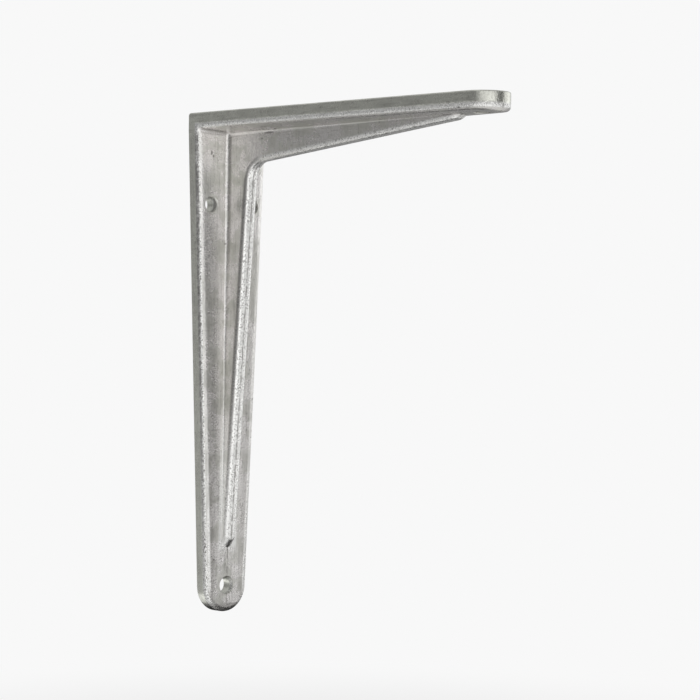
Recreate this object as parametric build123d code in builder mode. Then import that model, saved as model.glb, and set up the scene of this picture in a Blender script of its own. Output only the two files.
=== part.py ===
from build123d import *
import os
from math import asin, atan2, cos, hypot, radians, sin, tan

# Cast T-section shelf bracket, one solid.
# Frame: origin at the outer corner, on the middle plane. X runs out from the wall along the shelf arm,
# Y runs across the bracket, and Z is up. The wall face is X = 0 and the shelf face is Z = 0.

os.makedirs("parts", exist_ok=True)

# Reach of the two flanges, measured from the outer corner
leg_height = 250.0
arm_length = 200.0

# Flange outline: full width at the outer corner, then a straight taper to a round end
corner_width = 44.6
corner_flat = 0.6
leg_end_radius = 13.0
arm_end_radius = 12.2

# Flange section: thickest on the middle plane, falling away to both sides at the draft angle.
# The arm keeps this section from end to end. The leg's becomes thinner and flatter on its way down.
crown_thickness = 9.4
leg_end_crown = 8.0
flange_draft = 4.0
leg_end_draft = 0.6
flange_edge_round = 2.4
back_edge_round = 0.7
outer_corner_round = 1.6
inner_corner_round = 1.6

# Rib: the corner of its free edge in the XZ plane, its thickness, and its two tips. Each tip stands this
# high above its flange, slopes down over the tip run, and stops this far short of the flange's end.
rib_corner_x = 25.1
rib_corner_z = 25.2
rib_corner_radius = 10.0
rib_thickness = 7.4
rib_edge_round = 2.3
leg_tip_height = 2.7425
arm_tip_height = 1.9539
leg_tip_inset = 32.5
arm_tip_inset = 24.0
rib_tip_run = 3.6
rib_tip_round = 3.4

# Cove at the root of the rib: full size at the corner, dying out towards the tip
cove_radius = 1.9
cove_end_radius = 0.3
cove_stop = 12.0

# Screw holes: one in each round end, and one each side of the rib near the corner
pair_hole_radius = 3.75
end_hole_radius = 4.35
rim_flare = 0.3
leg_end_hole_inset = 13.3
arm_end_hole_inset = 12.5
leg_pair_from_corner = 45.5
leg_pair_half_spacing = 13.4
arm_pair_from_corner = 45.5
arm_pair_half_spacing = 8.4

half_corner = corner_width / 2
half_rib = rib_thickness / 2
rib_bed = crown_thickness / 2
draft_rise = tan(radians(flange_draft))
# The roof-shaped section is drawn wider than the outline that trims it
wide = half_corner * 1.2
edge_thickness = crown_thickness - half_corner * draft_rise
# The taper of each flange starts a little past the inner face of the other flange
taper_start = edge_thickness + corner_flat
# The drill starts outside the cove and runs right through the flange
drill_start = crown_thickness + 2 * cove_radius
# Where the rib's two tips end
leg_rib_stop = leg_height - leg_tip_inset
arm_rib_stop = arm_length - arm_tip_inset
# Two positions closer than this are the same
tiny = 0.01


def taper_touch(reach, end_radius):
    """Where the straight taper meets the round end: its distance along the flange and half width."""
    run = reach - end_radius - taper_start
    lean = atan2(half_corner, run) - asin(end_radius / hypot(half_corner, run))
    return reach - end_radius + end_radius * sin(lean), end_radius * cos(lean)


def leg_draft_rise(drop):
    """Fall of the leg's inner face for each millimetre across, at this drop below the shelf face."""
    return draft_rise + (tan(radians(leg_end_draft)) - draft_rise) * drop / leg_height


def leg_thickness(drop, side):
    """Thickness of the leg at this drop below the shelf face and this distance across."""
    crown = crown_thickness + (leg_end_crown - crown_thickness) * drop / leg_height
    return crown - abs(side) * leg_draft_rise(drop)


def arm_thickness(side):
    """Thickness of the arm at this distance across."""
    return crown_thickness - abs(side) * draft_rise


def faces_met(edge):
    """How many of the two inner faces hold the middle of an edge."""
    middle = edge.center()
    on_leg = abs(middle.X - leg_thickness(-middle.Z, middle.Y)) < 2 * tiny
    on_arm = abs(middle.Z + arm_thickness(middle.Y)) < 2 * tiny
    return on_leg + on_arm


def spans_half(edge):
    """True for an edge that runs the whole way from the middle plane to the side."""
    return abs((edge @ 0).Y - (edge @ 1).Y) > half_corner - tiny


def crosses_side(edge):
    """True for a seam that crosses the side of a flange from its inner to its outer face."""
    start = edge @ 0
    end = edge @ 1
    straight_across = edge.geom_type == GeomType.LINE and abs(start.Y - end.Y) < tiny
    reaches_outer_face = min(start.X, -start.Z, end.X, -end.Z) < tiny
    return straight_across and reaches_outer_face and edge.length < edge_thickness + tiny


def is_inner_rim(edge):
    """True for an edge along the outline of an inner face, or at the side of the inner corner round."""
    middle = edge.center()
    on_rim = faces_met(edge) > 0 or middle.Y > half_corner - tiny
    off_outer_faces = min(middle.X, -middle.Z) > tiny
    along = not spans_half(edge) and not crosses_side(edge)
    return middle.Y > tiny and on_rim and off_outer_faces and along


def is_outer_rim(edge):
    """True for an edge around the wall face, the outer corner round and the shelf face."""
    middle = edge.center()
    near_outer_face = min(abs(middle.X), abs(middle.Z)) < outer_corner_round / 2
    return middle.Y > tiny and near_outer_face and not spans_half(edge)


def cove_points(thickness, rise, radius):
    """Points of a cove section: the root, then the arc from the rib side to the inner face."""
    draft = atan2(rise, 1)
    half_angle = (radians(90) + draft) / 2
    reach = radius / tan(half_angle)
    root = Vector(thickness, half_rib)
    on_rib = root + Vector(reach, 0)
    on_face = root + Vector(-sin(draft), cos(draft)) * reach
    centre = on_rib + Vector(0, radius)
    middle = centre + (root - centre).normalized() * radius
    return root, on_rib, middle, on_face


def leg_section(drop):
    """Plane across the leg, looking at its section as X in from the wall and Y across."""
    return Plane(origin=(0, 0, -drop), x_dir=(1, 0, 0), z_dir=(0, 0, 1))


def arm_section(reach):
    """Plane across the arm, with the same section turned to lie under the shelf."""
    return Plane(origin=(reach, 0, 0), x_dir=(0, 0, -1), z_dir=(1, 0, 0))


leg_touch, leg_touch_half = taper_touch(leg_height, leg_end_radius)
arm_touch, arm_touch_half = taper_touch(arm_length, arm_end_radius)

with BuildPart() as arm_half:
    # Half of the shelf arm: half a roof-shaped section cut to the tapered outline with a round end
    with BuildSketch(Plane.YZ):
        with BuildLine():
            Polyline((0, 0), (0, -crown_thickness), (wide, -arm_thickness(wide)), (wide, 0), close=True)
        make_face()
    extrude(amount=arm_length)
    with BuildSketch(Plane.XY):
        with BuildLine():
            Polyline((arm_touch, arm_touch_half), (taper_start, half_corner), (0, half_corner),
                     (0, -half_corner), (taper_start, -half_corner), (arm_touch, -arm_touch_half))
            ThreePointArc((arm_touch, -arm_touch_half), (arm_length, 0), (arm_touch, arm_touch_half))
        make_face()
    extrude(amount=-crown_thickness, mode=Mode.INTERSECT)

with BuildPart() as rib:
    # Side outline of the rib: it starts inside both flanges, and each tip slopes down into its flange
    leg_tip_start = leg_rib_stop - rib_tip_run
    leg_top = Vector(leg_thickness(leg_tip_start, 0) + leg_tip_height, -leg_tip_start)
    leg_foot = Vector(leg_thickness(leg_rib_stop, 0), -leg_rib_stop)
    leg_buried = leg_foot + (leg_foot - leg_top)
    arm_top = Vector(arm_rib_stop - rib_tip_run, -crown_thickness - arm_tip_height)
    arm_foot = Vector(arm_rib_stop, -crown_thickness)
    arm_buried = arm_foot + (arm_foot - arm_top)
    with BuildSketch(Plane.XZ):
        with BuildLine():
            FilletPolyline(leg_top, (rib_corner_x, -rib_corner_z), arm_top, radius=rib_corner_radius)
            Polyline(arm_top, arm_buried, (rib_bed, -rib_bed), leg_buried, leg_top)
        make_face()
    extrude(amount=half_rib, both=True)
    # Each tip is round in plan, and the whole free edge is rolled over to the sides
    leg_slope = rib.faces().sort_by(Axis.Z)[0]
    arm_slope = rib.faces().sort_by(Axis.X)[-1]
    tip_edges = (leg_slope.edges() + arm_slope.edges()).filter_by(Axis.Y, reverse=True)
    fillet(tip_edges, radius=rib_tip_round)
    free_faces = rib.faces().filter_by(
        lambda face: abs(face.normal_at().Y) < 0.1 and face.area > rib_thickness * rib_corner_radius / 2
        and face.center().X > crown_thickness and face.center().Z < -crown_thickness)
    free_edge = free_faces.edges().filter_by(lambda edge: abs(edge.length - rib_thickness) > tiny)
    fillet(free_edge, radius=rib_edge_round)

with BuildPart() as coves:
    # A loft down the leg and one along the arm, then the same on the other side of the rib
    leg_cove_end = leg_rib_stop - cove_stop
    arm_cove_end = arm_rib_stop - cove_stop
    leg_run = [(leg_section(drop), leg_thickness(drop, half_rib), leg_draft_rise(drop), radius)
               for drop, radius in ((rib_bed, cove_radius), (leg_cove_end, cove_end_radius))]
    arm_run = [(arm_section(reach), arm_thickness(half_rib), draft_rise, radius)
               for reach, radius in ((rib_bed, cove_radius), (arm_cove_end, cove_end_radius))]
    for run in (leg_run, arm_run):
        for section, thickness, rise, radius in run:
            root, on_rib, middle, on_face = cove_points(thickness, rise, radius)
            under_face = on_face - Vector(1, 0)
            inside = root - Vector(1, 1)
            in_rib = on_rib - Vector(0, 1)
            with BuildSketch(section):
                with BuildLine():
                    ThreePointArc(on_rib, middle, on_face)
                    Polyline(on_face, under_face, inside, in_rib, on_rib)
                make_face()
        loft(ruled=True)
    mirror(about=Plane.XZ)

with BuildPart() as bracket:
    # Half of the wall leg, in the same way as the arm, but from its thicker to its thinner section
    for drop in (0, leg_height):
        with BuildSketch(Plane.XY.offset(-drop)):
            with BuildLine():
                Polyline((0, 0), (leg_thickness(drop, 0), 0), (leg_thickness(drop, wide), wide), (0, wide),
                         close=True)
            make_face()
    loft(ruled=True)
    with BuildSketch(Plane.YZ):
        with BuildLine():
            Polyline((leg_touch_half, -leg_touch), (half_corner, -taper_start), (half_corner, 0),
                     (-half_corner, 0), (-half_corner, -taper_start), (-leg_touch_half, -leg_touch))
            ThreePointArc((-leg_touch_half, -leg_touch), (0, -leg_height), (leg_touch_half, -leg_touch))
        make_face()
    extrude(amount=crown_thickness, mode=Mode.INTERSECT)
    add(arm_half.part)
    # Inner corner, then the inner edge of both flanges and their round ends, then the outer edges
    inner_corner = bracket.edges().filter_by(lambda edge: faces_met(edge) == 2)
    fillet(inner_corner, radius=inner_corner_round)
    inner_rim = bracket.edges().filter_by(is_inner_rim)
    fillet(inner_rim, radius=flange_edge_round)
    across = bracket.edges().filter_by(Axis.Y)
    outer_corner = across.sort_by(lambda edge: edge.center().X - edge.center().Z)[0]
    fillet(outer_corner, radius=outer_corner_round)
    outer_rim = bracket.edges().filter_by(is_outer_rim)
    fillet(outer_rim, radius=back_edge_round)
    # The other half, and the rib between them
    mirror(about=Plane.XZ)
    add(rib.part)
    add(coves.part)
    # Screw holes, drilled square to each flange, with a small flare at both rims
    leg_holes = ((leg_height - leg_end_hole_inset, 0, end_hole_radius),
                 (leg_pair_from_corner, -leg_pair_half_spacing, pair_hole_radius),
                 (leg_pair_from_corner, leg_pair_half_spacing, pair_hole_radius))
    for drop, side, radius in leg_holes:
        inner_face = leg_thickness(drop, max(abs(side), radius / 2))
        with Locations(Plane(origin=(drill_start, side, -drop), z_dir=(1, 0, 0))):
            Hole(radius=radius, depth=drill_start)
        with Locations(Plane(origin=(inner_face, side, -drop), z_dir=(1, 0, 0)),
                       Plane(origin=(0, side, -drop), z_dir=(-1, 0, 0))):
            Cone(bottom_radius=radius - rim_flare, top_radius=radius + 3 * rim_flare,
                 height=4 * rim_flare, mode=Mode.SUBTRACT)
    arm_holes = ((arm_length - arm_end_hole_inset, 0, end_hole_radius),
                 (arm_pair_from_corner, -arm_pair_half_spacing, pair_hole_radius),
                 (arm_pair_from_corner, arm_pair_half_spacing, pair_hole_radius))
    for reach, side, radius in arm_holes:
        inner_face = arm_thickness(max(abs(side), radius / 2))
        with Locations(Plane(origin=(reach, side, -drill_start), z_dir=(0, 0, -1))):
            Hole(radius=radius, depth=drill_start)
        with Locations(Plane(origin=(reach, side, -inner_face), z_dir=(0, 0, -1)),
                       Plane(origin=(reach, side, 0), z_dir=(0, 0, 1))):
            Cone(bottom_radius=radius - rim_flare, top_radius=radius + 3 * rim_flare,
                 height=4 * rim_flare, mode=Mode.SUBTRACT)

bracket.part.label = "bracket"
export_step(bracket.part, "parts/bracket.step")
print("bracket volume", round(bracket.part.volume, 1), "mm3, valid", bracket.part.is_valid)
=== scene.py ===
"""Cast shelf bracket: the finish of the casting, the studio around it and the camera."""
from math import cos, radians, sin
from types import SimpleNamespace

import bpy
from mathutils import Matrix, Vector


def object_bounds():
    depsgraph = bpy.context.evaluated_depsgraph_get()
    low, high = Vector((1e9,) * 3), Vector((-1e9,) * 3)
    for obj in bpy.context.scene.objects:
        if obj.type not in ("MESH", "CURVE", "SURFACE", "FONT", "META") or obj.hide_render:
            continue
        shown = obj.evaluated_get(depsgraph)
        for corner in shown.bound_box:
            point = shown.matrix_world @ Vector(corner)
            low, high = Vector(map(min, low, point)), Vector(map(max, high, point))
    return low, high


bl_info = {
    "name": "Cast shelf bracket",
    "version": (1, 0, 0),
    "blender": (4, 5, 0),
    "location": "View3D > Sidebar > Bracket",
    "description": "Bare cast metal finish, studio and camera for a cast shelf bracket",
    "category": "Object",
}

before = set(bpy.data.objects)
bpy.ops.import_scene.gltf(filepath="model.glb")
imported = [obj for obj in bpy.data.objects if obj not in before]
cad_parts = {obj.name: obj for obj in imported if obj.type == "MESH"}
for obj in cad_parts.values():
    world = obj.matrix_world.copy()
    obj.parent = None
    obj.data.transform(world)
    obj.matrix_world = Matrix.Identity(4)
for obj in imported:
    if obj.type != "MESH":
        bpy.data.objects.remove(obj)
cad_low, cad_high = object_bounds()
CASTING = "bracket"
MM = 0.001

# Brightness of the studio's cards by azimuth in degrees, as cameras are placed: 0 is the -Y side, 90 is +X
TENT_LEVELS = (
    (-180, 0.8), (-152, 0.6), (-134, 0.22), (-105, 0.26), (-60, 0.31), (-50, 0.3), (-42, 0.22), (-30, 0.2),
    (18, 0.2), (32, 0.65), (46, 0.88), (60, 0.95), (94, 0.95), (102, 0.4), (107, 0.1), (131, 0.1),
    (135, 0.75), (142, 0.95), (180, 0.85))
TABLE_LEVELS = (
    (-180, 0.45), (-150, 0.35), (-130, 0.24), (-100, 0.24), (-88, 0.35), (-78, 0.7), (-62, 0.45), (-50, 0.3),
    (-30, 0.5), (0, 0.7), (30, 0.9), (60, 1.0), (100, 1.0), (115, 0.95), (150, 0.95), (180, 0.5))
FOOT_LEVELS = (
    (-180, 0.03), (-100, 0.03), (-82, 0.4), (-72, 1.0), (-50, 1.0), (-38, 0.5), (0, 0.6), (60, 0.9),
    (90, 0.5), (110, 0.08), (180, 0.03))
EVEN_LEVEL = 0.5
CEILING_LEVELS = ((-180, EVEN_LEVEL), (180, EVEN_LEVEL))

# Sizes of the floor and the cards in metres. A rise is over the bracket's middle, a lift over the floor
ROUND_SIDES = 96
FLOOR_RADIUS = 30
TENT_RADIUS = 2.2
TENT_HEIGHT = 3.6
TENT_RISE = 0.2
TABLE_RADIUS = 2.1
TABLE_LIFT = 2 * MM
FOOT_CARD_RADIUS = 0.2
FOOT_CARD_LIFT = 4 * MM
CEILING_RADIUS = 2.2
CEILING_RISE = 2.0

# Heights over the shelf face in metres, between which the tent's brightness evens out
TENT_EVENS_OUT = (0.55, 0.85)

# Lamps: name, azimuth and elevation in degrees, width and height in metres, and watts
LAMP_DISTANCE = 1.6
LAMPS = (
    ("key_lamp", 72, 8, (1.2, 1.4), 1.2),
    ("back_lamp", 172, 12, (1.0, 1.2), 1.2),
    ("top_lamp", 40, 80, (1.4, 1.4), 1.2),
)
ROOM_LIGHT = 0.3

# The floor shows some of its own colour near the bracket, so that it keeps a shadow. Distances in metres
FLOOR_COLOUR = (0.85, 0.85, 0.85, 1)
SHADOW_CENTRE = (0.08, 0, 0)
SHADOW_REACH = (0.05, 0.35)
SHADOW_GLOW = (0.8, 1.0)

# The camera's place in the picture's own directions, from the bracket's corner: to the right and down
AIM_RIGHT = 64.22 * MM
AIM_UP = -118.29 * MM
SENSOR_WIDTH = 36

# How strongly the dirt, the darker arm tip, the painted shade and the painted highlight show
PATCH_DULLNESS = 0.22
PIT_DULLNESS = 0.35
STREAK_DULLNESS = 0.2
ARM_TIP_DARKENING = 0.14
SEAM_DARKNESS = 0.75
SHADE_DARKNESS = 0.75
HIGHLIGHT_GAIN = 1.3
TINT_ON_PATCHES = 0.4

# Steps of roughness from the mean: smoother where clean, rougher on dull patches, and rougher on inner faces
SMOOTHER = 0.03
ROUGHER = 0.05
ROUGHER_INSIDE = 0.03

# Height of the grain on the flanges' sides, what the rolls add to it and what the inner faces take away
GRAIN_ON_SIDES = 0.25
GRAIN_ON_ROLLS = 0.95
GRAIN_OFF_FACES = 0.6
LOWER_ROLL_DEPTH = 0.5 * MM
SEAM_DEPTH = 0.1 * MM

# The free edge of the rib: its slant along each flange, its distance from the corner, and its rounded corner
EDGE_SLANT_ON_LEG = 0.075
EDGE_OVER_LEG = 27.0
EDGE_SLANT_ON_ARM = 0.094
EDGE_UNDER_ARM = -27.56
EDGE_CORNER = 10 * MM

# Half the leg's width in millimetres at the level of the corner, and how it tapers
LEG_HALF_WIDTH = 22.71
LEG_TAPER = 0.041
INNER_CORNER = (9.6 * MM, 0, -9.6 * MM)

# Stretch of the streaks: much longer along a flange than across it
ALONG_LEG = (1, 1, 0.05)
ALONG_ARM = (0.05, 1, 1)

# Sizes of the finish's patterns, and of the breaks in its painted shade, in metres
STREAK_SIZE = 0.9 * MM
PATCH_SIZE = 11 * MM
PIT_SIZE = 1.7 * MM
DARK_GRAIN_SIZE = 0.8 * MM
SHADE_BREAK_SIZE = 2.5 * MM
MARK_SIZE = 1.5 * MM
SEAM_WANDER_SIZE = 5 * MM
SEAM_WANDER = 1.4 * MM
SEAM_BREAK_SIZE = 3 * MM

# Blemishes: place, half extents along X, Y and Z in millimetres, and strength
MARKS = (
    ((8.4, -13.7, -19.8), (2.0, 0.6, 1.3), 0.8), ((8.5, -12.6, -21.4), (2.0, 0.5, 0.8), 0.8),
    ((8.4, -13.0, -58.0), (2.0, 2.2, 2.4), 0.3), ((8.5, -10.2, -60.6), (2.0, 1.2, 2.6), 0.35),
    ((8.8, -4.7, -65.0), (2.0, 0.6, 0.6), 0.8), ((22.5, 4.4, -60.5), (2.0, 1.2, 0.8), 0.7),
    ((8.05, 15.2, -143.0), (2.0, 0.7, 0.8), 0.7), ((184.2, -12.5, -7.5), (1.0, 1.5, 0.5), 0.8),
    ((24.9, 2.8, -28.1), (2.0, 0.9, 1.2), 0.8), ((24.5, 3.9, -33.0), (2.0, 0.9, 1.5), 0.8),
    ((35.5, -3.7, -13.3), (1.0, 1.0, 0.5), 0.6), ((41.0, -3.7, -10.6), (4.5, 1.0, 0.5), 0.7),
)


class CastingLook(bpy.types.PropertyGroup):
    """Colours and surface detail of the bare casting."""

    metal: bpy.props.FloatVectorProperty(
        name="Metal", description="Colour of clean cast metal",
        default=(0.85, 0.86, 0.785), size=3, min=0, max=1, subtype="COLOR")
    # Painted highlight: the brighter colour painted on the rolled edges and along the rib's lower root
    edge_highlight: bpy.props.FloatVectorProperty(
        name="Worn metal", description="Colour of the bright grains on the rolled edges",
        default=(0.98, 0.98, 0.96), size=3, min=0, max=1, subtype="COLOR")
    tint: bpy.props.FloatVectorProperty(
        name="Inner tint", description="Warmer colour of the inner faces",
        default=(0.86, 0.84, 0.825), size=3, min=0, max=1, subtype="COLOR")
    skin: bpy.props.FloatVectorProperty(
        name="Cast skin", description="Colour of the duller patches left by the mould",
        default=(0.2, 0.19, 0.18), size=3, min=0, max=1, subtype="COLOR")
    roughness: bpy.props.FloatProperty(
        name="Roughness", description="Mean roughness of the cast skin",
        default=0.26, min=0, max=1, subtype="FACTOR")
    grain_size: bpy.props.FloatProperty(
        name="Grain size", description="Width of one grain of the mould's texture",
        default=0.85 * MM, min=0.1 * MM, max=3 * MM, unit="LENGTH")
    grain_depth: bpy.props.FloatProperty(
        name="Grain depth", description="Depth of the mould's texture",
        default=0.42 * MM, min=0, max=1 * MM, unit="LENGTH")
    wave_size: bpy.props.FloatProperty(
        name="Unevenness size", description="Width of one soft swell in the cast faces",
        default=8 * MM, min=1 * MM, max=50 * MM, unit="LENGTH")
    wave_depth: bpy.props.FloatProperty(
        name="Unevenness depth", description="Depth of the soft swells in the cast faces",
        default=0.1 * MM, min=0, max=1 * MM, unit="LENGTH")
    streak_depth: bpy.props.FloatProperty(
        name="Streak depth", description="Depth of the fine lengthwise streaks",
        default=0.03 * MM, min=0, max=1 * MM, unit="LENGTH")
    seam_width: bpy.props.FloatProperty(
        name="Parting line width", description="Width of the line where the mould halves met",
        default=0.65 * MM, min=0, max=3 * MM, unit="LENGTH")


class StudioSetup(bpy.types.PropertyGroup):
    """The floor, the background's brightness and the camera's place."""

    floor_drop: bpy.props.FloatProperty(
        name="Floor below the leg", description="Clear height between the leg's end and the floor",
        default=0.06, min=0, max=1, unit="LENGTH")
    pale: bpy.props.FloatProperty(
        name="Background", description="Brightness of the pale floor and background",
        default=0.939, min=0, max=1, subtype="FACTOR")
    azimuth: bpy.props.FloatProperty(
        name="Camera azimuth", description="Turn of the camera around the bracket",
        default=radians(48.3), subtype="ANGLE")
    roll: bpy.props.FloatProperty(
        name="Camera roll", description="Tilt of the camera about its own axis",
        default=radians(0.789), subtype="ANGLE")
    distance: bpy.props.FloatProperty(
        name="Camera distance", description="Distance from the camera to the bracket's corner plane",
        default=1.3173, min=0.1, unit="LENGTH")
    lens: bpy.props.FloatProperty(
        name="Focal length", description="Focal length of the camera in millimetres",
        default=133.87, min=10, max=500)


def new_material(name):
    """A node material without any nodes yet, and its node tree."""
    material = bpy.data.materials.new(name)
    material.use_nodes = True
    tree = material.node_tree
    tree.nodes.clear()
    return material, tree


def add_node(tree, kind, **values):
    """A node with its properties and its inputs' constant values set by name."""
    node = tree.nodes.new(kind)
    for name, value in values.items():
        if hasattr(node, name):
            setattr(node, name, value)
        else:
            node.inputs[name.replace("_", " ")].default_value = value
    return node


def link(tree, source, target):
    """Joins an output socket to an input socket."""
    tree.links.new(source, target)


def maths(tree, operation, first, second=None, clamp=False):
    """The output of a Math node on sockets or numbers."""
    node = tree.nodes.new("ShaderNodeMath")
    node.operation = operation
    node.use_clamp = clamp
    for slot, value in enumerate((first, second)):
        if value is None:
            continue
        if isinstance(value, (int, float)):
            node.inputs[slot].default_value = value
        else:
            link(tree, value, node.inputs[slot])
    return node.outputs[0]


def noise(tree, coordinates, size, detail=2.0, roughness=0.5):
    """The grey output of a noise with features of this size in metres."""
    node = add_node(tree, "ShaderNodeTexNoise", Scale=1 / size, Detail=detail, Roughness=roughness)
    link(tree, coordinates, node.inputs["Vector"])
    return node.outputs["Fac"]


def product(tree, *factors):
    """The product of sockets or numbers, of which the first is a socket."""
    result = factors[0]
    for factor in factors[1:]:
        result = maths(tree, "MULTIPLY", result, factor)
    return result


def largest(tree, *values):
    """The largest value of several sockets."""
    result = values[0]
    for value in values[1:]:
        result = maths(tree, "MAXIMUM", result, value)
    return result


def slanted(tree, source, slope, offset):
    """A straight line along a coordinate: its slope times the coordinate, plus an offset in millimetres."""
    return maths(tree, "ADD", maths(tree, "MULTIPLY", source, slope), offset * MM)


def spread(tree, source, low, high, to_low=0.0, to_high=1.0):
    """A socket's range from low to high, mapped smoothly and clamped."""
    node = tree.nodes.new("ShaderNodeMapRange")
    node.interpolation_type = "SMOOTHSTEP"
    for name, value in (("From Min", low), ("From Max", high), ("To Min", to_low), ("To Max", to_high)):
        node.inputs[name].default_value = value
    link(tree, source, node.inputs["Value"])
    return node.outputs["Result"]


def zone(tree, source, start, end, before=0.0, after=1.0):
    """A smooth step along a coordinate, from the value before to the one after, placed in millimetres."""
    return spread(tree, source, start * MM, end * MM, before, after)


def value_along(tree, source, stops):
    """A value along a coordinate, given as (millimetres, value) stops and joined smoothly."""
    total = None
    for (low, before), (high, after) in zip(stops, stops[1:]):
        step = zone(tree, source, low, high, 0.0, after - before)
        total = maths(tree, "ADD", step, before if total is None else total)
    return total


def bump(tree, height, distance, normal=None):
    """A bump of this real depth, on top of another one."""
    node = add_node(tree, "ShaderNodeBump", Distance=distance)
    link(tree, height, node.inputs["Height"])
    if normal:
        link(tree, normal, node.inputs["Normal"])
    return node.outputs["Normal"]


def mix_values(tree, factor, first, second):
    """First and second value, mixed by a factor."""
    node = add_node(tree, "ShaderNodeMix", data_type="FLOAT")
    for name, source in (("Factor", factor), ("A", first), ("B", second)):
        link(tree, source, node.inputs[name])
    return node.outputs["Result"]


def mix_colours(tree, factor, first, second):
    """A colour between two, each of them a socket or three numbers."""
    node = add_node(tree, "ShaderNodeMix", data_type="RGBA")
    link(tree, factor, node.inputs["Factor"])
    for name, colour in (("A", first), ("B", second)):
        if isinstance(colour, bpy.types.NodeSocket):
            link(tree, colour, node.inputs[name])
        else:
            node.inputs[name].default_value = (*colour, 1)
    return node.outputs["Result"]


def stretched(tree, coordinates, factors):
    """Coordinates scaled along each axis, so that a noise on them is drawn out."""
    node = tree.nodes.new("ShaderNodeVectorMath")
    node.operation = "MULTIPLY"
    node.inputs[1].default_value = factors
    link(tree, coordinates, node.inputs[0])
    return node.outputs["Vector"]


def distance_to(tree, coordinates, point, axes=(1, 1, 1)):
    """Distance from a point in metres, counted only along the axes that are 1."""
    node = tree.nodes.new("ShaderNodeVectorMath")
    node.operation = "DISTANCE"
    link(tree, stretched(tree, coordinates, axes), node.inputs[0])
    node.inputs[1].default_value = [value * axis for value, axis in zip(point, axes)]
    return node.outputs["Value"]


def blemishes(tree, coordinates):
    """Small dark marks at fixed places: scratches, pits and smears."""
    total = None
    ragged = noise(tree, coordinates, MARK_SIZE, detail=3.0)
    for place, size, strength in MARKS:
        factors = [1 / (MM * extent) for extent in size]
        scaled = stretched(tree, coordinates, factors)
        centre = [value * MM * factor for value, factor in zip(place, factors)]
        reach = maths(tree, "ADD", distance_to(tree, scaled, centre), ragged)
        mark = spread(tree, reach, 1.1, 1.7, strength, 0.0)
        total = mark if total is None else largest(tree, total, mark)
    return total


def under_rib_edge(tree, x, z):
    """How far a place lies under the rib's free edge, whose corner is rounded."""
    edge_x = slanted(tree, z, EDGE_SLANT_ON_LEG, EDGE_OVER_LEG)
    edge_z = slanted(tree, x, EDGE_SLANT_ON_ARM, EDGE_UNDER_ARM)
    squares = []
    for gap in (maths(tree, "SUBTRACT", edge_x, x), maths(tree, "SUBTRACT", z, edge_z)):
        inside = maths(tree, "MAXIMUM", gap, -EDGE_CORNER)
        squares.append(maths(tree, "POWER", maths(tree, "ADD", inside, EDGE_CORNER), 2.0))
    reach = maths(tree, "SQRT", maths(tree, "ADD", *squares))
    return maths(tree, "SUBTRACT", reach, EDGE_CORNER)


def casting_zones(tree):
    """The casting's coordinates and the zones that all parts of its finish share."""
    place = tree.nodes.new("ShaderNodeTexCoord")
    spot = place.outputs["Object"]
    split = tree.nodes.new("ShaderNodeSeparateXYZ")
    link(tree, spot, split.inputs[0])
    x, y, z = (split.outputs[axis] for axis in "XYZ")

    # Depth under the wall face or the shelf face: the flanges' sides and outer faces lie within 5 mm of them
    depth = maths(tree, "MINIMUM", x, maths(tree, "MULTIPLY", z, -1.0))
    off_middle = maths(tree, "ABSOLUTE", y)
    on_leg = zone(tree, z, -12, -9, 1.0, 0.0)
    widest_below = zone(tree, z, -240, -120, 1.0, 0.35)
    above_foot = zone(tree, z, -243, -237)
    return SimpleNamespace(
        spot=spot, x=x, y=y, z=z, depth=depth, off_middle=off_middle, on_leg=on_leg,
        on_arm=zone(tree, z, -14, -9),
        inner=zone(tree, depth, 4.6, 6.4),
        inner_faces=zone(tree, depth, 7.3, 7.9),
        under_edge=under_rib_edge(tree, x, z),
        from_edge=maths(tree, "SUBTRACT", slanted(tree, z, LEG_TAPER, LEG_HALF_WIDTH), off_middle),
        lower_leg=product(tree, widest_below, on_leg, above_foot))


def edge_foot_shade(tree, casting):
    """Painted shade along the outer foot of the leg's rolled edge, wider near the corner."""
    wider_above = zone(tree, casting.z, -85, -45, 0.0, 0.5 * MM)
    begins = zone(tree, casting.x, 4.4, 5.8)
    ends = zone(tree, maths(tree, "SUBTRACT", casting.x, wider_above), 6.4, 7.1, 1.0, 0.0)
    paler_below = zone(tree, casting.z, -230, -120, 0.4, 1.0)
    broken = spread(tree, noise(tree, casting.spot, SHADE_BREAK_SIZE, detail=3.0), 0.3, 0.6, 0.35, 1.0)
    return product(tree, begins, ends, casting.on_leg, paler_below, broken)


def rib_side_shade(tree, casting):
    """Painted shade on the rib's sides along the foot of its rolled edge, on the leg's part of it."""
    begins = zone(tree, casting.under_edge, 0.0, 0.7)
    ends = zone(tree, casting.under_edge, 2.2, 3.6, 1.0, 0.0)
    rib_sides = zone(tree, casting.off_middle, 2.7, 3.3)
    beside_leg = zone(tree, casting.x, 28, 38, 1.0, 0.0)
    off_flange = zone(tree, casting.x, 10, 12)
    paler_below = zone(tree, casting.z, -190, -130, 0.45, 0.95)
    return product(tree, begins, ends, rib_sides, beside_leg, off_flange, paler_below)


def corner_shade(tree, casting):
    """Painted shade in the upper root of the rib and in the inner corner."""
    beside_rib = zone(tree, casting.off_middle, 4.3, 5.4, 0.7, 0.0)
    upper_leg = zone(tree, casting.z, -90, -60)
    root_begins = zone(tree, casting.x, 9.3, 9.8)
    root_ends = zone(tree, casting.x, 11, 13, 1.0, 0.0)
    root = product(tree, beside_rib, upper_leg, root_begins, root_ends, casting.on_leg)
    off_corner = distance_to(tree, casting.spot, INNER_CORNER, (1, 0, 1))
    in_corner = zone(tree, off_corner, 1.0, 2.2, 0.6, 0.0)
    clear_of_rib = zone(tree, casting.off_middle, 4.6, 5.6)
    return largest(tree, root, product(tree, in_corner, clear_of_rib))


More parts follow.
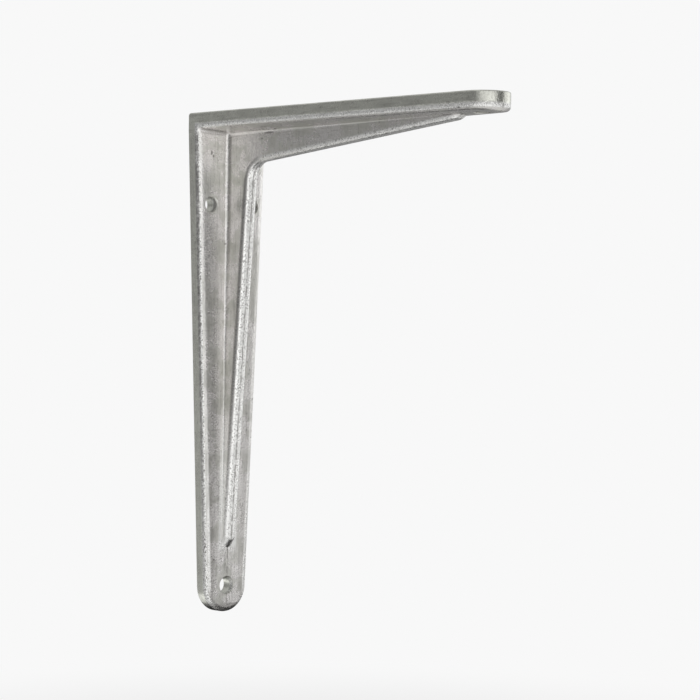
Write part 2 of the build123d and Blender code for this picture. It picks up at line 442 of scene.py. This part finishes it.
def underside_shade(tree, casting):
    """Painted shade on the arm's underside and under the foot."""
    underside_begins = zone(tree, casting.z, -9.6, -9.3)
    underside_ends = zone(tree, casting.z, -7.6, -7.2, 1.0, 0.0)
    away_from_leg = zone(tree, casting.x, 11, 30, 0.0, 0.6)
    foot = zone(tree, casting.z, -246.5, -244, 0.9, 0.0)
    return largest(tree, product(tree, underside_begins, underside_ends, away_from_leg), foot)


def lower_roll(tree, casting):
    """The inner face's strip that the roll of the leg's edge takes up, wider on its way down, where the
    edge's painted highlight is widened.
    """
    near_edge = zone(tree, casting.from_edge, 2.5, 3.4, 0.7, 0.0)
    return product(tree, near_edge, casting.lower_leg, casting.inner_faces)


def leg_face_shade(tree, casting, roll):
    """Painted shade on the leg's inner face: darker on its way down and away from the rib, but not on its
    edge's roll.
    """
    face = zone(tree, casting.x, 10, 11, 1.0, 0.0)
    off_rib = zone(tree, casting.off_middle, 5, 11, 0.3, 1.0)
    darker_below = value_along(tree, casting.z, ((-225, 0.55), (-75, 0.3), (-40, 0.0)))
    lighter_side = zone(tree, casting.y, 3, 8, 1.0, 0.7)
    off_roll = maths(tree, "SUBTRACT", 1.0, roll)
    return product(
        tree, casting.inner_faces, casting.on_leg, face, off_rib, darker_below, lighter_side, off_roll)


def rolled_edges(tree, casting, roll):
    """The rolled edges of both flanges and of the rib, where a highlight is painted into the colour."""
    flange_roll = maths(tree, "SUBTRACT", casting.inner, casting.inner_faces)
    rib_roll = zone(tree, casting.under_edge, 2.0, 3.0, 0.7, 0.0)
    over_flange = zone(tree, casting.depth, 9.5, 10.5)
    return largest(tree, flange_roll, product(tree, rib_roll, over_flange), roll)


def dark_grains(tree, casting, edges):
    """Fine dark grains between the bright ones on the rolled edges, calmer on the arm."""
    grains = spread(tree, noise(tree, casting.spot, DARK_GRAIN_SIZE, detail=1.0), 0.53, 0.64, 0.0, 0.8)
    calmer_on_arm = spread(tree, casting.on_arm, 0.0, 1.0, 1.0, 0.55)
    return product(tree, edges, grains, calmer_on_arm)


def root_highlight(tree, casting):
    """Painted highlight along the root of the rib on the lower leg."""
    beside_rib = zone(tree, casting.off_middle, 5.0, 6.4, 1.0, 0.0)
    fades_upwards = zone(tree, casting.z, -190, -130, 1.0, 0.0)
    above_rib_tip = zone(tree, casting.z, -222, -216)
    inside = zone(tree, casting.x, 7, 8)
    return product(tree, beside_rib, casting.on_leg, fades_upwards, above_rib_tip, inside)


def parting_line(tree, casting, width):
    """The slightly wandering line where the mould halves met, on the inner side of the casting."""
    wander = maths(tree, "SUBTRACT", noise(tree, casting.spot, SEAM_WANDER_SIZE, detail=4.0), 0.5)
    wobble = maths(tree, "MULTIPLY", wander, SEAM_WANDER)
    across = maths(tree, "ABSOLUTE", maths(tree, "ADD", casting.y, wobble))
    line = spread(tree, across, width * 0.4, width, 1.0, 0.0)
    broken = spread(tree, noise(tree, casting.spot, SEAM_BREAK_SIZE, detail=3.0), 0.35, 0.55, 0.3, 1.0)
    return product(tree, line, casting.inner, broken)


def lengthwise_streaks(tree, casting):
    """Fine streaks that run down the leg and along the arm."""
    down_leg = noise(tree, stretched(tree, casting.spot, ALONG_LEG), STREAK_SIZE, detail=2.0)
    along_arm = noise(tree, stretched(tree, casting.spot, ALONG_ARM), STREAK_SIZE, detail=2.0)
    return mix_values(tree, casting.on_arm, down_leg, along_arm)


def metal_colour(tree, casting, look, patches, streaks, seam):
    """Clean metal, warmer inside, with a painted highlight on the rolled edges and the rib's lower root,
    under its dirt and its painted shade.
    """
    roll = lower_roll(tree, casting)
    edges = rolled_edges(tree, casting, roll)
    # Painted highlight on the rolled edges and along the rib's lower root
    painted_highlight = largest(tree, maths(tree, "MULTIPLY", edges, HIGHLIGHT_GAIN), root_highlight(tree, casting))
    warmth = product(tree, casting.inner_faces, spread(tree, patches, 0.0, 1.0, 1.0, TINT_ON_PATCHES))
    clean = mix_colours(tree, warmth, look.metal, look.tint)
    bright = mix_colours(tree, maths(tree, "MINIMUM", painted_highlight, 1.0), clean, look.edge_highlight)

    pits = spread(tree, noise(tree, casting.spot, PIT_SIZE, detail=3.0, roughness=0.6), 0.58, 0.74)
    dull_and_shade = maths(tree, "ADD", product(tree, patches, PATCH_DULLNESS), product(tree, pits, PIT_DULLNESS))
    dull_and_shade = product(tree, dull_and_shade, maths(tree, "SUBTRACT", 1.0, painted_highlight, clamp=True))
    dull_and_shade = maths(tree, "ADD", dull_and_shade, spread(tree, streaks, 0.45, 0.75, 0.0, STREAK_DULLNESS))
    # Painted shade on the leg's inner face
    dull_and_shade = maths(tree, "ADD", dull_and_shade, leg_face_shade(tree, casting, roll))
    # The arm's tip is made darker from 186 to 192 mm along X onwards
    arm_tip = zone(tree, casting.x, 186, 192, 0.0, ARM_TIP_DARKENING)
    dull_and_shade = maths(tree, "ADD", dull_and_shade, arm_tip, clamp=True)

    # Painted shade: along the foot of the leg's edge, on the rib's sides, in the inner corner, under the arm
    # and under the foot
    painted_shade = largest(
        tree, edge_foot_shade(tree, casting), rib_side_shade(tree, casting), corner_shade(tree, casting),
        underside_shade(tree, casting))
    dark = largest(
        tree, dull_and_shade, dark_grains(tree, casting, edges), product(tree, seam, SEAM_DARKNESS),
        product(tree, painted_shade, SHADE_DARKNESS), blemishes(tree, casting.spot))
    return mix_colours(tree, dark, bright, look.skin)


def metal_roughness(tree, casting, look, patches):
    """Roughness that follows the skin's patches and is higher on the inner faces."""
    skin = spread(tree, patches, 0.0, 1.0, look.roughness - SMOOTHER, look.roughness + ROUGHER)
    return maths(tree, "ADD", skin, maths(tree, "MULTIPLY", casting.inner_faces, ROUGHER_INSIDE))


def metal_relief(tree, casting, look, streaks, seam):
    """The normal of the uneven, streaked and grainy surface, with a wider roll on the lower leg's edge."""
    lower_edge = product(tree, zone(tree, casting.from_edge, 1.2, 3.5, 1.0, 0.0), casting.lower_leg)
    swell = noise(tree, casting.spot, look.wave_size, detail=2.0)
    grain = noise(tree, casting.spot, look.grain_size, detail=2.0, roughness=0.55)
    inner_height = maths(tree, "ADD", maths(tree, "MULTIPLY", casting.inner, GRAIN_ON_ROLLS), GRAIN_ON_SIDES)
    height = maths(
        tree, "SUBTRACT", inner_height, maths(tree, "MULTIPLY", casting.inner_faces, GRAIN_OFF_FACES))
    normal = bump(tree, lower_edge, -LOWER_ROLL_DEPTH)
    normal = bump(tree, swell, look.wave_depth, normal)
    normal = bump(tree, streaks, look.streak_depth, normal)
    normal = bump(tree, product(tree, grain, height), look.grain_depth, normal)
    return bump(tree, seam, -SEAM_DEPTH, normal)


def cast_metal(look):
    """Bare cast metal: uneven faces, fine grain, dull skin patches and the mould's parting line."""
    material, tree = new_material("cast_metal")
    casting = casting_zones(tree)
    patches = spread(tree, noise(tree, casting.spot, PATCH_SIZE, detail=6.0, roughness=0.62), 0.42, 0.62)
    streaks = lengthwise_streaks(tree, casting)
    seam = parting_line(tree, casting, look.seam_width)
    shader = add_node(tree, "ShaderNodeBsdfPrincipled", Metallic=1.0)
    link(tree, metal_colour(tree, casting, look, patches, streaks, seam), shader.inputs["Base Color"])
    link(tree, metal_roughness(tree, casting, look, patches), shader.inputs["Roughness"])
    link(tree, metal_relief(tree, casting, look, streaks, seam), shader.inputs["Normal"])
    output = tree.nodes.new("ShaderNodeOutputMaterial")
    link(tree, shader.outputs["BSDF"], output.inputs["Surface"])
    return material


def seen_or_mirrored(tree):
    """1 for the rays by which the camera, metal and glass see the background, otherwise 0."""
    path = tree.nodes.new("ShaderNodeLightPath")
    seen = maths(tree, "MAXIMUM", path.outputs["Is Camera Ray"], path.outputs["Is Glossy Ray"])
    return maths(tree, "MAXIMUM", seen, path.outputs["Is Transmission Ray"])


def pale_backdrop(pale):
    """A pale floor at the background's brightness: near the bracket it keeps a soft shadow."""
    material, tree = new_material("pale_backdrop")
    place = tree.nodes.new("ShaderNodeTexCoord")
    reach = distance_to(tree, place.outputs["Object"], SHADOW_CENTRE, (1, 1, 0))
    far = spread(tree, reach, *SHADOW_REACH, *SHADOW_GLOW)
    diffuse = add_node(tree, "ShaderNodeBsdfDiffuse", Color=FLOOR_COLOUR)
    glow = add_node(tree, "ShaderNodeEmission", Color=(pale, pale, pale, 1))
    mix = tree.nodes.new("ShaderNodeMixShader")
    link(tree, maths(tree, "MULTIPLY", seen_or_mirrored(tree), far), mix.inputs[0])
    link(tree, diffuse.outputs[0], mix.inputs[1])
    link(tree, glow.outputs[0], mix.inputs[2])
    output = tree.nodes.new("ShaderNodeOutputMaterial")
    link(tree, mix.outputs[0], output.inputs["Surface"])
    return material


def card_light(name, stops, evens_out=False):
    """A glowing card whose brightness follows the azimuth in degrees, and may even out above."""
    material, tree = new_material(name)
    place = tree.nodes.new("ShaderNodeTexCoord")
    split = tree.nodes.new("ShaderNodeSeparateXYZ")
    link(tree, place.outputs["Object"], split.inputs[0])
    turn = maths(tree, "ARCTAN2", split.outputs["X"], maths(tree, "MULTIPLY", split.outputs["Y"], -1.0))
    ramp = tree.nodes.new("ShaderNodeValToRGB")
    link(tree, maths(tree, "ADD", maths(tree, "DIVIDE", turn, radians(360)), 0.5), ramp.inputs[0])
    elements = ramp.color_ramp.elements
    while len(elements) < len(stops):
        elements.new(0.5)
    for element, (azimuth, level) in zip(elements, stops):
        element.position = azimuth / 360 + 0.5
        element.color = (level, level, level, 1)
    glow = add_node(tree, "ShaderNodeEmission", Strength=1.0)
    level = ramp.outputs["Color"]
    if evens_out:
        height = spread(tree, split.outputs["Z"], *TENT_EVENS_OUT)
        level = mix_colours(tree, height, level, (EVEN_LEVEL, EVEN_LEVEL, EVEN_LEVEL))
    link(tree, level, glow.inputs["Color"])
    output = tree.nodes.new("ShaderNodeOutputMaterial")
    link(tree, glow.outputs[0], output.inputs["Surface"])
    return material


def only_mirrored(card, diffuse=False):
    """Leaves a studio card out of sight and without a shadow, to be mirrored by the metal."""
    card.visible_camera = False
    card.visible_diffuse = diffuse
    card.visible_shadow = False
    card.visible_transmission = False


def add_card(piece, name, material):
    """Names a new studio surface, applies its transform and gives it its material."""
    piece.name = name
    bpy.ops.object.transform_apply(location=True, rotation=True, scale=True)
    piece.data.materials.append(material)


def add_disc(name, radius, place, material):
    """A round flat studio surface."""
    bpy.ops.object.select_all(action="DESELECT")
    bpy.ops.mesh.primitive_circle_add(
        vertices=ROUND_SIDES, radius=radius, fill_type="NGON", location=place)
    disc = bpy.context.object
    add_card(disc, name, material)
    return disc


def pale_world(pale):
    """A dim room that the camera and the metal see at the background's brightness."""
    world = bpy.data.worlds.new("pale_world")
    world.use_nodes = True
    tree = world.node_tree
    tree.nodes.clear()
    room = add_node(tree, "ShaderNodeBackground", Color=(1, 1, 1, 1), Strength=ROOM_LIGHT)
    seen = add_node(tree, "ShaderNodeBackground", Color=(pale, pale, pale, 1), Strength=1.0)
    mix = tree.nodes.new("ShaderNodeMixShader")
    link(tree, seen_or_mirrored(tree), mix.inputs[0])
    link(tree, room.outputs[0], mix.inputs[1])
    link(tree, seen.outputs[0], mix.inputs[2])
    output = tree.nodes.new("ShaderNodeOutputWorld")
    link(tree, mix.outputs[0], output.inputs["Surface"])
    return world


def photo_camera_axes(azimuth, roll):
    """Unit vectors from the bracket to the camera, to the picture's right and to its top."""
    towards = Vector((sin(azimuth), -cos(azimuth), 0))
    right = Vector((cos(azimuth), sin(azimuth), 0))
    up = towards.cross(right)
    turned_right = right * cos(roll) + up * sin(roll)
    turned_up = up * cos(roll) - right * sin(roll)
    return towards, turned_right, turned_up


def around(azimuth, elevation, distance, centre):
    """A point at this azimuth, as cameras are placed, and elevation, both in degrees."""
    turn, rise = radians(azimuth), radians(elevation)
    return centre + distance * Vector((sin(turn) * cos(rise), -cos(turn) * cos(rise), sin(rise)))


def soft_box(name, azimuth, elevation, distance, centre, size, power):
    """A rectangular lamp that faces the bracket."""
    data = bpy.data.lights.new(name, "AREA")
    data.shape = "RECTANGLE"
    data.size, data.size_y = size
    data.energy = power
    lamp = bpy.data.objects.new(name, data)
    bpy.context.scene.collection.objects.link(lamp)
    lamp.location = around(azimuth, elevation, distance, centre)
    lamp.rotation_euler = (lamp.location - centre).to_track_quat("Z", "Y").to_euler()


class OBJECT_OT_cast_finish(bpy.types.Operator):
    """Gives the bracket the look of a bare casting"""

    bl_idname = "object.cast_finish"
    bl_label = "Finish the casting"

    def execute(self, context):
        look = context.scene.casting_look
        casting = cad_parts[CASTING]
        material = cast_metal(look)
        casting.data.materials.clear()
        casting.data.materials.append(material)
        return {"FINISHED"}


class OBJECT_OT_studio_stage(bpy.types.Operator):
    """Adds the pale floor, the lamps and the pale surroundings"""

    bl_idname = "object.studio_stage"
    bl_label = "Set up the studio"

    def execute(self, context):
        setup = context.scene.studio_setup
        centre = (cad_low + cad_high) / 2
        ground = cad_low.z - setup.floor_drop
        add_disc("floor", FLOOR_RADIUS, (centre.x, centre.y, ground), pale_backdrop(setup.pale))

        bpy.ops.object.select_all(action="DESELECT")
        bpy.ops.mesh.primitive_cylinder_add(
            vertices=ROUND_SIDES, radius=TENT_RADIUS, depth=TENT_HEIGHT, end_fill_type="NOTHING",
            location=(centre.x, centre.y, centre.z + TENT_RISE))
        tent = context.object
        add_card(tent, "tent_cards", card_light("tent_light", TENT_LEVELS, evens_out=True))
        only_mirrored(tent, diffuse=True)

        table = (centre.x, centre.y, ground + TABLE_LIFT)
        foot = (0, 0, ground + FOOT_CARD_LIFT)
        ceiling = (centre.x, centre.y, centre.z + CEILING_RISE)
        for name, levels, radius, place in (
                ("table_card", TABLE_LEVELS, TABLE_RADIUS, table),
                ("foot_card", FOOT_LEVELS, FOOT_CARD_RADIUS, foot),
                ("ceiling_card", CEILING_LEVELS, CEILING_RADIUS, ceiling)):
            only_mirrored(add_disc(name, radius, place, card_light(name + "_light", levels)))

        for name, azimuth, elevation, size, power in LAMPS:
            soft_box(name, azimuth, elevation, LAMP_DISTANCE, centre, size, power)
        context.scene.world = pale_world(setup.pale)
        context.scene.view_settings.view_transform = "Standard"
        return {"FINISHED"}


class OBJECT_OT_photo_camera(bpy.types.Operator):
    """Adds the camera at the photograph's place, level with the bracket's middle"""

    bl_idname = "object.photo_camera"
    bl_label = "Place the camera"

    def execute(self, context):
        setup = context.scene.studio_setup
        towards, right, up = photo_camera_axes(setup.azimuth, setup.roll)
        place = towards * setup.distance + right * AIM_RIGHT + up * AIM_UP
        data = bpy.data.cameras.new("photo_camera")
        data.sensor_width = SENSOR_WIDTH
        data.lens = setup.lens
        camera = bpy.data.objects.new("photo_camera", data)
        context.scene.collection.objects.link(camera)
        turn = Matrix((right, up, towards)).transposed().to_4x4()
        camera.matrix_world = Matrix.Translation(place) @ turn
        context.scene.camera = camera
        return {"FINISHED"}


class VIEW3D_PT_bracket(bpy.types.Panel):
    """Lists the bracket's finish, its studio and its camera"""

    bl_idname = "VIEW3D_PT_bracket"
    bl_label = "Shelf bracket"
    bl_space_type = "VIEW_3D"
    bl_region_type = "UI"
    bl_category = "Bracket"

    def draw(self, context):
        layout = self.layout
        for group in (context.scene.casting_look, context.scene.studio_setup):
            box = layout.box()
            for name in group.__annotations__:
                box.prop(group, name)
        for operator in OPERATORS:
            layout.operator(operator.bl_idname)


OPERATORS = (OBJECT_OT_photo_camera, OBJECT_OT_cast_finish, OBJECT_OT_studio_stage)
CLASSES = (CastingLook, StudioSetup, *OPERATORS, VIEW3D_PT_bracket)


def register():
    """Registers the classes and the scene's two groups of settings."""
    for cls in CLASSES:
        bpy.utils.register_class(cls)
    bpy.types.Scene.casting_look = bpy.props.PointerProperty(type=CastingLook)
    bpy.types.Scene.studio_setup = bpy.props.PointerProperty(type=StudioSetup)


def unregister():
    """Takes the settings and the classes out again."""
    del bpy.types.Scene.studio_setup
    del bpy.types.Scene.casting_look
    for cls in reversed(CLASSES):
        bpy.utils.unregister_class(cls)


def main():
    """Builds everything in order."""
    register()
    bpy.ops.object.photo_camera()
    bpy.ops.object.cast_finish()
    bpy.ops.object.studio_stage()


if __name__ == "__main__":
    main()
